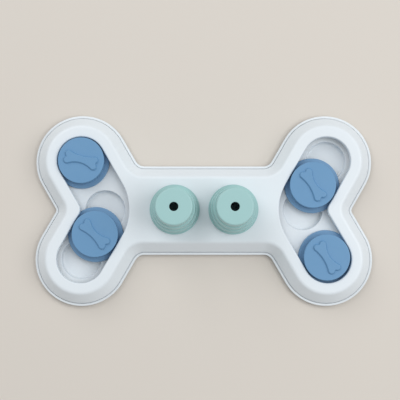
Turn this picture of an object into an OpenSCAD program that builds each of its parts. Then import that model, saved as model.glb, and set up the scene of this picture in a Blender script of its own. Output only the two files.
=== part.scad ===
/* [Board] */
// Overall length of the bone-shaped board
board_length = 311; // [290:1:340]
// Overall width of the board, across two lobes
board_width = 176; // [168:1:190]
// Height of the top face above the floor
board_height = 20; // [19:0.5:26]
// Radius of each of the four lobes
lobe_r = 43; // [42:0.5:45]
// Width of the straight bar between the lobes
bar_width = 82; // [76:1:90]
// Angle between an arm and the long axis
arm_angle = 60; // [57:1:63]
// Inside radius where an arm leaves the bar
bar_fillet_r = 9.5; // [6:0.5:14]
// Inside radius at the bottom of each end notch
notch_fillet_r = 4; // [3:0.5:7]

/* [Cover shell] */
// Wall thickness of the cover
cover_wall = 2.4; // [2:0.1:3]
// Height of the upright foot of the side wall
side_upright = 4; // [3:0.5:6]
// Width of the sloped band round the top face, seen from above
shoulder_w = 8.8; // [7:0.2:10]
// Rounding between the upright foot and the sloped band
side_round = 6; // [3:0.5:8]
// Rounding between the sloped band and the top face
shoulder_round = 4; // [2:0.5:6]
// Thickness of the down-turned wall round a channel
lip_t = 2; // [1.6:0.1:2.4]
// Rounding of the edge where a channel meets the top face
mouth_round = 1.2; // [0.6:0.1:1.6]
// Radius of the wide bend on the bar side of a channel
bend_r = 48; // [44:1:54]
// Radius of the tight bend on the notch side of a channel
inner_bend_r = 9; // [8:0.5:12]

/* [Base tray] */
// Thickness of the tray floor
tray_t = 2; // [1.6:0.1:3]
// Width of the raised rim along the edge of the tray
rim_w = 1.8; // [1.2:0.1:2.2]
// Height of the rim above the tray floor
rim_h = 2; // [1:0.1:3]
// Width of the groove between the rim and the cover
groove_w = 0.4; // [0.3:0.05:0.8]
// Diameter of a treat well at its edge
well_d = 35.4; // [32:0.2:37]
// Depth of a treat well below the deck
well_depth = 6; // [5:0.5:7]
// Rounding at the bottom of a treat well
well_round = 4.5; // [2:0.5:5]
// Thickness of the deck and of its walls
deck_t = 2; // [1.6:0.1:2.4]
// Margin of deck round the path of a glide
deck_margin = 1.7; // [1.2:0.1:2.2]
// Thickness of the ribs under the deck
rib_t = 1.6; // [1.2:0.1:2]
// Distance of the middle well from the bend, towards the end notch
bend_well_shift = 4.5; // [2:0.5:7]

/* [Sliders] */
// Diameter of a slider knob
knob_d = 42; // [40:0.5:43]
// Height that a knob stands above the top face
knob_proud = 3; // [2:0.5:5]
// Thickness of the knob's top
knob_top_t = 2.2; // [1.8:0.1:3]
// Thickness of the knob's skirt
knob_skirt_t = 1.8; // [1.4:0.1:2.2]
// Width of the glide's flange beyond the knob
flange_w = 4.3; // [3.5:0.1:5]
// Thickness of the glide's flange
flange_t = 2.3; // [1.8:0.1:2.8]
// Diameter of the stem that holds a knob on its glide
stem_d = 8; // [6:0.5:10]
// Rounding of the edge of the knob's top
knob_round = 0.9; // [0.4:0.1:1.2]
// Length of the raised bone on a knob
ornament_length = 31.4; // [28:0.2:33]
// Width of the raised bone over its two knuckles
ornament_w = 13; // [12.4:0.2:13.6]
// Diameter of a knuckle of the raised bone
knuckle_d = 6.8; // [6.2:0.1:7.2]
// Width of the raised bone at its waist
waist_w = 7.4; // [6:0.1:8]
// Distance that the waist bows out to the back of the raised bone
waist_bow = 0.7; // [0:0.1:1.2]
// Height of the raised bone on a knob
ornament_h = 0.8; // [0.5:0.1:1.4]
// Slant round the upper edge of the raised bone, measured inwards and down
ornament_slant = 0.4; // [0.2:0.1:0.4]
// Turn of the back left knob
back_left_turn = -15; // [-180:1:180]
// Turn of the front left knob
front_left_turn = 136; // [-180:1:180]
// Turn of the back right knob
back_right_turn = 122; // [-180:1:180]
// Turn of the front right knob
front_right_turn = 122; // [-180:1:180]
// Distance of the back left slider from the end of its channel
back_left_park = 0; // [0:0.5:6]
// Distance of the front left slider from the end of its channel
front_left_park = 26; // [24:0.5:32]
// Distance of the back right slider from the end of its channel
back_right_park = 26; // [24:0.5:32]
// Distance of the front right slider from the end of its channel
front_right_park = 1.5; // [0:0.5:6]

/* [Cups] */
// Distance between the two cups
cup_spacing = 53.6; // [50:0.2:60]
// Height of a cup above the top face
cup_height = 47; // [40:1:55]
// Diameter of the flat top of a cup
cup_top_d = 33; // [30:0.5:36]
// Diameter of the foot ring of a cup
cup_foot_d = 45.6; // [43:0.2:48]
// Wall thickness of a cup
cup_wall = 2; // [1.6:0.1:2.4]
// Number of steps on the side of a cup
cup_steps = 3; // [2:1:4]
// Width of each ledge on the side of a cup
cup_ledge = 1.3; // [0.8:0.1:1.6]
// Rounding of the upper edge of each step on the side of a cup
cup_step_round = 0.7; // [0.3:0.1:0.7]
// Rounding of the edge round the flat top of a cup
cup_round = 1.4; // [0.6:0.1:2]
// Diameter of the hole in the top of a cup
cup_hole_d = 8; // [6:0.5:12]
// Depth of the pocket under a cup
pocket_depth = 8; // [6:0.5:9]
// Diameter of the pocket under a cup
pocket_d = 36.4; // [34:0.2:38]
// Length of the cup's spigot in its pocket
spigot_h = 4; // [3:0.5:5]

/* [Feet and screws] */
// Diameter of a rubber foot
foot_d = 14; // [10:0.5:16]
// Height of a foot below the tray
foot_h = 1.5; // [1:0.1:2.5]
// Depth that a foot is let into the tray
foot_inset = 0.7; // [0.4:0.1:0.9]
// Diameter of a screw shank
screw_d = 2.9; // [2.5:0.1:3.2]
// Length of a screw under its head
screw_length = 9; // [7:0.5:10]
// Diameter of a screw head
screw_head_d = 5.6; // [5:0.1:6]
// Height of a screw head
screw_head_h = 1.8; // [1.4:0.1:2]
// Distance between the screws along the bar
bar_screw_spacing = 96; // [90:1:100]

/* [Clearances] */
// Gap round a knob in its channel
knob_gap = 1; // [0.6:0.1:1.4]
// Gap under and between parts that slide
glide_gap = 0.3; // [0.3:0.05:0.5]
// Gap between a flange and the channel wall above it
flange_gap = 0.6; // [0.4:0.1:1]
// Gap round a cup's spigot
cup_gap = 0.6; // [0.3:0.1:0.9]
// Gap round a pivot
pivot_gap = 0.2; // [0.15:0.05:0.3]
// Gap round a screw in its hole
screw_gap = 0.2; // [0.15:0.05:0.3]

/* [Hidden] */
$fn = 96;

// Angle step of the arcs in the outlines
arc_step = 7.5;
// Small overshoot that keeps a cut clear of the face it opens
over = 0.5;
// Small chamfer on edges that are out of sight or underfoot
chamfer = 0.5;
lean = 90 - arm_angle;

// Height of a well's bottom above the tray floor, and how much narrower a well is there
well_lift = 0.5;
well_taper = 1;
// Walls round a screw in its boss, round its head in its pad, and the pad's height
boss_wall = 1.45;
pad_wall = 1.9;
pad_h = 2.1;
// Depth of a screw's head in the tray, and the distance of a boss from what is beside it
head_sink = 0.6;
boss_gap = 0.5;
// How far the upright foot of the side wall leans in
side_slant = 0.3;
// The inside of the side wall: how far it lies in from the edge of the top face, and below the knee
roof_inset = 0.6;
knee_drop = 0.8;
// Wall of a glide, its gap inside the knob's skirt, and the chamfer on its flange
glide_t = 2;
hub_gap = 0.8;
flange_chamfer = 0.6;
// Snap end of a knob's stem: its width over the stem, its edge and its whole height
barb_w = 0.9;
barb_edge = 0.6;
barb_h = 2.2;
// Depth that the raised bone is let into the knob, and the rounding between two knuckles at its end
ornament_root = 0.2;
nick_r = 0.8;
// Height of a cup's foot ring
cup_foot_h = 2;
// Cross recess of a screw: its length, width and depth
recess_l = 3.2;
recess_w = 0.8;
recess_h = 1;

// Heights, from the floor up
tray_z = foot_h;
floor_z = tray_z + tray_t;
deck_z = floor_z + well_lift + well_depth;
glide_z = deck_z + glide_gap;
flange_top_z = glide_z + flange_t;
lip_z = flange_top_z + flange_gap;
roof_z = board_height - cover_wall;
knob_z = board_height + knob_proud;
hub_z = knob_z - knob_top_t - glide_gap;
pocket_z = board_height - pocket_depth;
cup_z = board_height + glide_gap;

// Places, for the quarter with x and y above 0
lobe_x = board_length / 2 - lobe_r;
lobe_y = board_width / 2 - lobe_r;
bend_x = lobe_x - lobe_y / tan(arm_angle);
notch_x = lobe_x + (lobe_r + notch_fillet_r - lobe_y * cos(arm_angle)) / sin(arm_angle);
fillet_y = bar_width / 2 + bar_fillet_r;
fillet_x = lobe_x - (lobe_r + bar_fillet_r - (fillet_y - lobe_y) * cos(arm_angle)) / sin(arm_angle);

// Sizes of the sliders and their channels
knob_r = knob_d / 2;
channel_r = knob_r + knob_gap;
flange_r = knob_r + flange_w;
deck_grow = flange_r - channel_r + deck_margin;
wide_bend_x = bend_x + (bend_r - channel_r) / sin(arm_angle);
tight_bend_x = bend_x + (channel_r + inner_bend_r) / sin(arm_angle);
hub_r = knob_r - knob_skirt_t - hub_gap;

// Screws
boss_r = screw_d / 2 + boss_wall;
pad_r = screw_head_d / 2 + pad_wall;
pad_z = floor_z + pad_h;
head_seat_z = tray_z + screw_head_h + head_sink;
lobe_boss_reach = flange_r + deck_margin + boss_r + boss_gap;

// Points of an arc; a falling angle gives an inward bend
function arc(centre, r, from, to) =
    let (n = round(abs(to - from) / arc_step))
    [for (i = [0:n]) let (a = from + (to - from) * i / n) centre + r * [cos(a), sin(a)]];

// The bone outline as arcs [centre, spine point, radius, from, to], joined by straight lines;
// inset moves it inwards
function bone_arcs(inset) =
    let (r = lobe_r - inset, n = notch_fillet_r + inset, f = bar_fillet_r + inset)
    [
        [[notch_x, 0], 0, n, 180 + lean, 180 - lean],
        [[lobe_x, lobe_y], 1, r, -lean, 180 - lean],
        [[fillet_x, fillet_y], 0, f, -lean, -90],
        [[-fillet_x, fillet_y], 3, f, -90, lean - 180],
        [[-lobe_x, lobe_y], 2, r, lean, 180 + lean],
        [[-notch_x, 0], 3, n, lean, -lean],
        [[-lobe_x, -lobe_y], 4, r, 180 - lean, 360 - lean],
        [[-fillet_x, -fillet_y], 3, f, 180 - lean, 90],
        [[fillet_x, -fillet_y], 0, f, 90, lean],
        [[lobe_x, -lobe_y], 5, r, 180 + lean, 360 + lean]
    ];
function bone_ring(inset) = [for (a = bone_arcs(inset)) each arc(a[0], a[2], a[3], a[4])];
bone_spine = [
    [bend_x, 0], [lobe_x, lobe_y], [-lobe_x, lobe_y],
    [-bend_x, 0], [-lobe_x, -lobe_y], [lobe_x, -lobe_y]
];
bone_spine_of = [for (a = bone_arcs(0)) each [for (p = arc(a[0], a[2], a[3], a[4])) a[1]]];

// A smooth solid through rings of points at [inset or growth, height] levels, each ring point given with
// the spine point that its end faces fan out from. A shell goes down its inside, then up its outside.
module loft(rings, levels, spine, spine_of) {
    n = len(spine_of);
    m = len(levels);
    low = n * m;
    high = low + len(spine);
    points = [
        for (k = [0:m - 1]) each [for (p = rings[k]) [p[0], p[1], levels[k][1]]],
        for (p = spine) [p[0], p[1], levels[0][1]],
        for (p = spine) [p[0], p[1], levels[m - 1][1]]
    ];
    sides = [
        for (k = [0:m - 2]) for (i = [0:n - 1]) let (j = (i + 1) % n)
            [k * n + i, (k + 1) * n + i, (k + 1) * n + j, k * n + j]
    ];
    bottom = [
        for (i = [0:n - 1]) let (j = (i + 1) % n, a = spine_of[i], b = spine_of[j])
            a == b ? [i, j, low + a] : [i, j, low + b, low + a]
    ];
    top = [
        for (i = [0:n - 1]) let (j = (i + 1) % n, a = spine_of[i], b = spine_of[j])
            a == b ? [high + a, (m - 1) * n + j, (m - 1) * n + i]
            : [high + a, high + b, (m - 1) * n + j, (m - 1) * n + i]
    ];
    polyhedron(points, concat(sides, bottom, top));
}

// Outline of the right channel; grow moves it outwards
function channel_ring(grow) = concat(
    arc([lobe_x, lobe_y], channel_r + grow, -lean, 180 - lean),
    arc([wide_bend_x, 0], bend_r + grow, 180 - lean, 180 + lean),
    arc([lobe_x, -lobe_y], channel_r + grow, 180 + lean, 360 + lean),
    arc([tight_bend_x, 0], inner_bend_r - grow, 180 + lean, 180 - lean)
);
channel_bend = (wide_bend_x - bend_r + tight_bend_x - inner_bend_r) / 2;
channel_spine = [[lobe_x, lobe_y], [channel_bend, 0], [lobe_x, -lobe_y]];
channel_spine_of = [
    for (a = [[0, 180], [1, 2 * lean], [2, 180], [1, 2 * lean]]) for (i = [0:round(a[1] / arc_step)]) a[0]
];
module channel(grow, from, to) {
    translate([0, 0, from]) linear_extrude(to - from) polygon(channel_ring(grow));
}

// Points of a profile whose corners are rounded by [x, z, radius], in n steps
function corner_arc(p, q, r, radius, n) =
    let (
        u = (p - q) / norm(p - q), v = (r - q) / norm(r - q),
        half = acos(u * v) / 2,
        centre = q + (u + v) / norm(u + v) * radius / sin(half),
        a = q + u * radius / tan(half) - centre,
        turn = 180 - 2 * half,
        side = cross(u, v) > 0 ? -1 : 1
    )
    [for (i = [0:n]) let (t = side * turn * i / n)
        centre + [a[0] * cos(t) - a[1] * sin(t), a[0] * sin(t) + a[1] * cos(t)]];
side_foot = [rim_w + groove_w, floor_z];
side_knee = side_foot + [side_slant, side_upright];
side_edge = [rim_w + groove_w + shoulder_w, board_height];
side_top = side_edge + [shoulder_w, 0];
side_profile = concat(
    [side_foot],
    corner_arc(side_foot, side_knee, side_edge, side_round, 2),
    corner_arc(side_knee, side_edge, side_top, shoulder_round, 4)
);
shell_profile = concat(
    [
        [side_edge[0] + roof_inset, roof_z],
        side_knee + [cover_wall, -knee_drop],
        side_foot + [cover_wall, 0]
    ],
    side_profile
);

// The opening of a channel: straight up, then a rounded mouth that runs out past the top face
mouth_top = [mouth_round, board_height];
mouth_profile = concat(
    [[0, lip_z - over]],
    corner_arc([0, lip_z], [0, board_height], mouth_top, mouth_round, 4),
    [mouth_top + [over, over]]
);

// Repeats what follows at both ends, mirrored
module both_ends() {
    children();
    mirror([1, 0, 0]) children();
}
module at_wells() {
    for (p = [[lobe_x, lobe_y], [lobe_x, -lobe_y], [bend_x + bend_well_shift, 0]])
        translate([p[0], p[1], 0]) children();
}

// Screw places: one out along each arm, and four along the bar
lobe_screw = [lobe_x + lobe_boss_reach * cos(arm_angle), lobe_y + lobe_boss_reach * sin(arm_angle)];
bar_screw = [bar_screw_spacing / 2, bar_width / 2 - side_edge[0] - boss_r + boss_gap];
module at_screws() {
    for (p = [lobe_screw, bar_screw]) for (sx = [-1, 1]) for (sy = [-1, 1])
        translate([sx * p[0], sy * p[1], 0]) children();
}

// Feet: one under each lobe and two under the bar
lobe_foot = [lobe_x, lobe_y];
bar_foot = [0, bar_screw[1]];
module at_feet() {
    for (sx = [-1, 1]) for (sy = [-1, 1])
        translate([sx * lobe_foot[0], sy * lobe_foot[1], 0]) children();
    for (sy = [-1, 1]) translate([0, sy * bar_foot[1], 0]) children();
}

// A round dish, open at the top, that tapers to a rounded bottom
module well(top_z) {
    r = well_d / 2;
    low = r - well_taper;
    translate([0, 0, top_z - well_depth]) rotate_extrude() polygon(concat(
        [[0, 0]],
        [for (i = [0:6]) let (a = -90 + 15 * i)
            [low - well_round + well_round * cos(a), well_round + well_round * sin(a)]],
        [[r, well_depth], [r, well_depth + over], [0, well_depth + over]]
    ));
}

module deck_ribs() {
    for (sy = [-1, 1]) translate([bend_x, 0, 0])
        rotate([0, 0, sy * arm_angle])
            translate([-channel_r, -rib_t / 2, tray_z])
                cube([2 * channel_r + lobe_y / sin(arm_angle), rib_t, deck_z - deck_t / 2 - tray_z]);
    for (p = [[lobe_x, lobe_y, 1], [lobe_x, -lobe_y, -1]])
        translate([p[0], p[1], tray_z]) rotate([0, 0, p[2] * arm_angle])
            translate([-rib_t / 2, deck_t / 2 - channel_r - deck_grow, 0])
                cube([rib_t, 2 * (channel_r + deck_grow) - deck_t, deck_z - deck_t / 2 - tray_z]);
}

module deck() {
    difference() {
        channel(deck_grow, tray_z, deck_z);
        difference() {
            channel(deck_grow - deck_t, tray_z - over, deck_z - deck_t);
            at_wells() translate([0, 0, tray_z - 2 * over])
                cylinder(r = well_d / 2 + deck_t, h = deck_z);
            deck_ribs();
        }
        at_wells() well(deck_z);
    }
}

module base_tray() color("#dfe6ea") {
    difference() {
        union() {
            difference() {
                translate([0, 0, tray_z]) linear_extrude(tray_t + rim_h) polygon(bone_ring(0));
                translate([0, 0, floor_z]) linear_extrude(tray_t + rim_h) polygon(bone_ring(rim_w));
                both_ends() channel(deck_grow - deck_t / 2, tray_z - over, floor_z + over);
            }
            both_ends() deck();
            at_screws() translate([0, 0, tray_z]) cylinder(r = pad_r, h = pad_z - tray_z);
        }
        at_screws() {
            translate([0, 0, tray_z - over])
                cylinder(r = screw_head_d / 2 + screw_gap, h = head_seat_z - tray_z + over);
            cylinder(r = screw_d / 2 + screw_gap, h = pad_z + over);
        }
        at_feet() cylinder(r = foot_d / 2 + screw_gap, h = tray_z + foot_inset);
    }
}

module cup_pockets(r, from, to) {
    for (s = [-1, 1]) translate([s * cup_spacing / 2, 0, from]) cylinder(r = r, h = to - from);
}

module top_cover() color("#eef2f4") {
    difference() {
        union() {
            loft([for (l = shell_profile) bone_ring(l[0])], shell_profile, bone_spine, bone_spine_of);
            both_ends() channel(lip_t, lip_z, board_height - cover_wall / 2);
            cup_pockets(pocket_d / 2 + cover_wall, pocket_z - cover_wall, board_height - cover_wall / 2);
            at_screws() translate([0, 0, pad_z]) cylinder(r = boss_r, h = roof_z + over - pad_z);
        }
        both_ends() loft(
            [for (l = mouth_profile) channel_ring(l[0])], mouth_profile,
            channel_spine, channel_spine_of
        );
        for (s = [-1, 1]) translate([s * cup_spacing / 2, 0, 0]) rotate_extrude() polygon([
            [0, pocket_z], [pocket_d / 2, pocket_z], [pocket_d / 2, board_height - chamfer],
            [pocket_d / 2 + chamfer + over, board_height + over], [0, board_height + over]
        ]);
        at_screws() translate([0, 0, pad_z - over])
            cylinder(r = screw_d / 2 + screw_gap, h = screw_length + over);
    }
}

// Sliders: [end, side, distance from the channel's end, turn of the knob]
back_left = [-1, 1, back_left_park, back_left_turn];
front_left = [-1, -1, front_left_park, front_left_turn];
back_right = [1, 1, back_right_park, back_right_turn];
front_right = [1, -1, front_right_park, front_right_turn];
function slider_at(s) = [
    s[0] * (lobe_x - s[2] * cos(arm_angle)), s[1] * (lobe_y - s[2] * sin(arm_angle)), 0
];

module glide(s) color("#5b86b5") translate(slider_at(s)) rotate_extrude() polygon([
    [stem_d / 2 + pivot_gap, hub_z], [hub_r - chamfer, hub_z],
    [hub_r, hub_z - chamfer], [hub_r, flange_top_z],
    [flange_r - flange_chamfer, flange_top_z], [flange_r, flange_top_z - flange_chamfer],
    [flange_r, glide_z + chamfer], [flange_r - chamfer, glide_z],
    [hub_r - glide_t, glide_z], [hub_r - glide_t, hub_z - glide_t],
    [stem_d / 2 + pivot_gap, hub_z - glide_t]
]);

// A traditional bone along the x axis, bowed a little to the back: four knuckles, a hollow along each
// side and a nick at each end
function hollow_r(at, r, waist) =
    let (rise = waist - at[1]) (at[0] * at[0] + rise * rise - r * r) / (2 * (r - rise));
function ornament_arcs(inset) =
    let (
        full = knuckle_d / 2,
        at = [ornament_length / 2 - full, ornament_w / 2 - full],
        r = full - inset,
        end_r = nick_r + inset,
        nick_x = at[0] + sqrt((full + nick_r) * (full + nick_r) - at[1] * at[1]),
        nick = atan2(at[1], nick_x - at[0]),
        back = waist_w / 2 + waist_bow - inset,
        front = waist_w / 2 - waist_bow - inset,
        back_r = hollow_r(at, r, back),
        front_r = hollow_r(at, r, front),
        back_turn = atan2(at[0], back + back_r - at[1]),
        front_turn = atan2(at[0], front + front_r - at[1])
    )
    [
        [at, 0, r, -nick, 90 + back_turn],
        [[0, back + back_r], 1, back_r, back_turn - 90, -90 - back_turn],
        [[-at[0], at[1]], 2, r, 90 - back_turn, 180 + nick],
        [[-nick_x, 0], 2, end_r, nick, -nick],
        [-at, 2, r, 180 - nick, 270 + front_turn],
        [[0, -front - front_r], 1, front_r, 90 + front_turn, 90 - front_turn],
        [[at[0], -at[1]], 0, r, 270 - front_turn, 360 + nick],
        [[nick_x, 0], 0, end_r, 180 + nick, 180 - nick]
    ];
function ornament_ring(inset) = [for (a = ornament_arcs(inset)) each arc(a[0], a[2], a[3], a[4])];
ornament_end = ornament_length / 2 - knuckle_d / 2;
ornament_spine = [[ornament_end, 0], [0, 0], [-ornament_end, 0]];
ornament_spine_of = [for (a = ornament_arcs(0)) each [for (p = arc(a[0], a[2], a[3], a[4])) a[1]]];
ornament_profile = [
    [0, knob_z - ornament_root], [0, knob_z + ornament_h - ornament_slant],
    [ornament_slant, knob_z + ornament_h]
];

module knob(s) color("#6f9cc8") translate(slider_at(s)) {
    barb_z = hub_z - glide_t - glide_gap;
    skirt_z = flange_top_z + glide_gap;
    barb_r = stem_d / 2 + barb_w;
    rotate_extrude() polygon(concat(
        [
            [0, barb_z - barb_h], [stem_d / 2 - barb_edge, barb_z - barb_h],
            [barb_r, barb_z - barb_edge], [barb_r, barb_z], [stem_d / 2, barb_z],
            [stem_d / 2, knob_z - knob_top_t], [knob_r - knob_skirt_t, knob_z - knob_top_t],
            [knob_r - knob_skirt_t, skirt_z], [knob_r, skirt_z]
        ],
        corner_arc([knob_r, skirt_z], [knob_r, knob_z], [0, knob_z], knob_round, 3),
        [[0, knob_z]]
    ));
    rotate([0, 0, s[3]]) loft(
        [for (l = ornament_profile) ornament_ring(l[0])], ornament_profile,
        ornament_spine, ornament_spine_of
    );
}

// Half outline of a cup: a spigot, a foot ring and steps up to a flat top
cup_top_z = board_height + cup_height;
step_h = (cup_top_z - cup_z - cup_foot_h) / cup_steps;
step_lean = ((cup_foot_d - cup_top_d) / 2 - cup_steps * cup_ledge) / cup_steps;
spigot_r = pocket_d / 2 - cup_gap;
cup_side = [
    for (i = [0:cup_steps - 1])
        let (
            foot_r = cup_foot_d / 2 - cup_ledge - i * (cup_ledge + step_lean),
            foot = [foot_r, cup_z + cup_foot_h + i * step_h],
            edge = foot + [-step_lean, step_h],
            r = i == cup_steps - 1 ? cup_round : cup_step_round
        )
        each concat([foot], corner_arc(foot, edge, [0, edge[1]], r, 3))
];
module cup(side) color("#a8cfcd") translate([side * cup_spacing / 2, 0, 0]) {
    inner_top = cup_top_d / 2 - cup_wall;
    difference() {
        rotate_extrude() polygon(concat(
            [[0, cup_z - spigot_h], [spigot_r, cup_z - spigot_h], [spigot_r, cup_z],
                [cup_foot_d / 2, cup_z], [cup_foot_d / 2, cup_z + cup_foot_h - chamfer],
                [cup_foot_d / 2 - chamfer, cup_z + cup_foot_h]],
            cup_side,
            [[0, cup_top_z]]
        ));
        rotate_extrude() polygon([
            [0, cup_z - spigot_h - over], [spigot_r - cup_wall, cup_z - spigot_h - over],
            [spigot_r - cup_wall, cup_z], [inner_top, cup_top_z - cup_wall], [0, cup_top_z - cup_wall]
        ]);
        translate([0, 0, cup_top_z - 2 * cup_wall]) cylinder(d = cup_hole_d, h = 3 * cup_wall);
    }
}

module foot(p) color("#8d9296") translate([p[0], p[1], 0]) rotate_extrude() polygon([
    [0, 0], [foot_d / 2 - chamfer, 0], [foot_d / 2, chamfer],
    [foot_d / 2, foot_h + foot_inset], [0, foot_h + foot_inset]
]);

module screw(p) color("silver") translate([p[0], p[1], 0]) difference() {
    union() {
        translate([0, 0, head_seat_z - screw_head_h]) cylinder(d = screw_head_d, h = screw_head_h);
        translate([0, 0, head_seat_z - over]) cylinder(d = screw_d, h = screw_length + over);
    }
    for (a = [0, 90]) rotate([0, 0, a])
        translate([-recess_l / 2, -recess_w / 2, head_seat_z - screw_head_h - over])
            cube([recess_l, recess_w, recess_h + over]);
}

base_tray();
top_cover();
glide(back_left);  // glide_back_left
glide(front_left);  // glide_front_left
glide(back_right);  // glide_back_right
glide(front_right);  // glide_front_right
knob(back_left);  // knob_back_left
knob(front_left);  // knob_front_left
knob(back_right);  // knob_back_right
knob(front_right);  // knob_front_right
cup(-1);  // cup_left
cup(1);  // cup_right
foot([-lobe_foot[0], lobe_foot[1]]);  // foot_back_left
foot([-lobe_foot[0], -lobe_foot[1]]);  // foot_front_left
foot([lobe_foot[0], lobe_foot[1]]);  // foot_back_right
foot([lobe_foot[0], -lobe_foot[1]]);  // foot_front_right
foot([0, bar_foot[1]]);  // foot_back_middle
foot([0, -bar_foot[1]]);  // foot_front_middle
screw([-lobe_screw[0], lobe_screw[1]]);  // screw_lobe_back_left
screw([-lobe_screw[0], -lobe_screw[1]]);  // screw_lobe_front_left
screw([lobe_screw[0], lobe_screw[1]]);  // screw_lobe_back_right
screw([lobe_screw[0], -lobe_screw[1]]);  // screw_lobe_front_right
screw([-bar_screw[0], bar_screw[1]]);  // screw_bar_back_left
screw([-bar_screw[0], -bar_screw[1]]);  // screw_bar_front_left
screw([bar_screw[0], bar_screw[1]]);  // screw_bar_back_right
screw([bar_screw[0], -bar_screw[1]]);  // screw_bar_front_right
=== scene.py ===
"""Dog puzzle feeder: a bone-shaped board with sliders and lift-off cups, on a pale floor.

Lengths are in metres, with the board lying flat, its middle at the origin and its bar along x.
Every visible piece is made here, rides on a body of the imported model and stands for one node.
"""

from math import atan2, ceil, cos, degrees, pi, radians, sin, sqrt, tan

import bmesh
import bpy
from mathutils import Matrix, Vector


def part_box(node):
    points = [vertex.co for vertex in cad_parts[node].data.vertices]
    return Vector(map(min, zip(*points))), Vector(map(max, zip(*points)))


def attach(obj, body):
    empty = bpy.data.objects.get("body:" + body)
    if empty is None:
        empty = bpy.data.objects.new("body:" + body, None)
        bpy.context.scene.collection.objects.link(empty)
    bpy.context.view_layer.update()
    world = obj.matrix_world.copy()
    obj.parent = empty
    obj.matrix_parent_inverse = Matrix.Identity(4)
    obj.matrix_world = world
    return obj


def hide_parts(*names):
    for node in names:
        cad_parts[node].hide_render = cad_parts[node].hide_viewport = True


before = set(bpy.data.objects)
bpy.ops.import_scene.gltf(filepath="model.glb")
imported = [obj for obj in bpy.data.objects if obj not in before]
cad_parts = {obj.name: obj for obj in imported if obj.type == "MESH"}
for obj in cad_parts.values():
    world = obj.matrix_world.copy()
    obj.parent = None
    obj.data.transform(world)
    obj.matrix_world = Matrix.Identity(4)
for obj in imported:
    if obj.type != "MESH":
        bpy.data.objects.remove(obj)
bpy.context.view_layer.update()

MM = 0.001

# ---------------------------------------------------------------- sizes, from the frame

tray_low, tray_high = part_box("base_tray")
cover_low, cover_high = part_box("top_cover")
knob_low, knob_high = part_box("knob_back_left")
glide_low, glide_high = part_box("glide_back_left")
cup_low, cup_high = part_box("cup_left")

TOP_Z = cover_high.z
TRAY_Z = tray_low.z
DECK_Z = tray_high.z
GLIDE_Z = glide_low.z
GLIDE_TOP_Z = glide_high.z
FLANGE_R = (glide_high.x - glide_low.x) / 2
KNOB_R = (knob_high.x - knob_low.x) / 2
CUP_FOOT_R = (cup_high.x - cup_low.x) / 2
CUP_X = (cup_high.x + cup_low.x) / 2


def middle(node):
    """Where a node stands, seen from above."""
    low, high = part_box(node)
    return (low.x + high.x) / 2, (low.y + high.y) / 2


SCREWS = [middle(node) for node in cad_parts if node.startswith("screw_")]
FEET = [middle(node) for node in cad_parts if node.startswith("foot_")]

# ---------------------------------------------------------------- sizes of the board

# The bone outline: four lobes, a bar between them, and a fillet in each inner corner
LOBE_R = 43 * MM
ARM_ANGLE = 60
LEAN = 90 - ARM_ANGLE
BAR_WIDTH = 82 * MM
BAR_FILLET_R = 9.5 * MM
NOTCH_FILLET_R = 4 * MM
LOBE_X = tray_high.x - LOBE_R
LOBE_Y = tray_high.y - LOBE_R
BEND_X = LOBE_X - LOBE_Y / tan(radians(ARM_ANGLE))
FILLET_Y = BAR_WIDTH / 2 + BAR_FILLET_R
FILLET_REACH = LOBE_R + BAR_FILLET_R - (FILLET_Y - LOBE_Y) * cos(radians(ARM_ANGLE))
FILLET_X = LOBE_X - FILLET_REACH / sin(radians(ARM_ANGLE))
NOTCH_REACH = LOBE_R + NOTCH_FILLET_R - LOBE_Y * cos(radians(ARM_ANGLE))
NOTCH_X = LOBE_X + NOTCH_REACH / sin(radians(ARM_ANGLE))

# Roundings of moulded edges and inner corners
CRISP_EDGE = 0.3 * MM
EDGE = 0.4 * MM
SOFT_EDGE = 0.6 * MM

# The tray: its floor, the rim round it, and the pads that the cover stands on
FLOOR_Z = TRAY_Z + 2 * MM
RIM_Z = FLOOR_Z + 2 * MM
RIM_W = 2.05 * MM
PAD_Z = FLOOR_Z + 2.1 * MM
PAD_R = 4.7 * MM

# The cover: its wall, and its side, which rises from a thin groove inside the tray's rim
COVER_WALL = 2.4 * MM
ROOF_Z = TOP_Z - COVER_WALL
RIM_AND_GROOVE = 2.2 * MM
SIDE_UPRIGHT = 4 * MM
SIDE_SLANT = 0.3 * MM
SIDE_ROUND = 6 * MM
SHOULDER_W = 8.8 * MM
SHOULDER_ROUND = 4 * MM
CAVITY_IN = 0.6 * MM
CAVITY_DOWN = 0.8 * MM

# The two bent channels, and the lip that keeps the glides' flanges down
CHANNEL_R = KNOB_R + 1 * MM
BEND_R = 48 * MM
INNER_BEND_R = 9 * MM
WIDE_BEND_X = BEND_X + (BEND_R - CHANNEL_R) / sin(radians(ARM_ANGLE))
TIGHT_BEND_X = BEND_X + (CHANNEL_R + INNER_BEND_R) / sin(radians(ARM_ANGLE))
LIP_T = 2 * MM
LIP_Z = 13.2 * MM
LIP_ROUND = 1.2 * MM

# The pockets that the cups stand in
POCKET_R = 18.2 * MM
POCKET_Z = TOP_Z - 8 * MM
POCKET_FOOT_ROUND = 1 * MM

# Each raised deck with its three treat wells, and the ribs under it
DECK_T = 2 * MM
DECK_GROW = FLANGE_R - CHANNEL_R + 1.7 * MM
WELL_R = 18.4 * MM
WELL_Z = DECK_Z - 6 * MM
WELL_TAPER = 0.5 * MM
WELL_ROUND = 2.2 * MM
BEND_WELL_X = BEND_X + 4.5 * MM
WELLS = ((LOBE_X, LOBE_Y), (LOBE_X, -LOBE_Y), (BEND_WELL_X, 0))
RIB_T = 1.6 * MM
RIB_START = WELL_R + DECK_T - EDGE
RIB_TO_WALL = CHANNEL_R + DECK_GROW - DECK_T + EDGE
RIB_TO_BEND = 30.5 * MM
BEND_RIB_END = CHANNEL_R + 4 * MM

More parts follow.
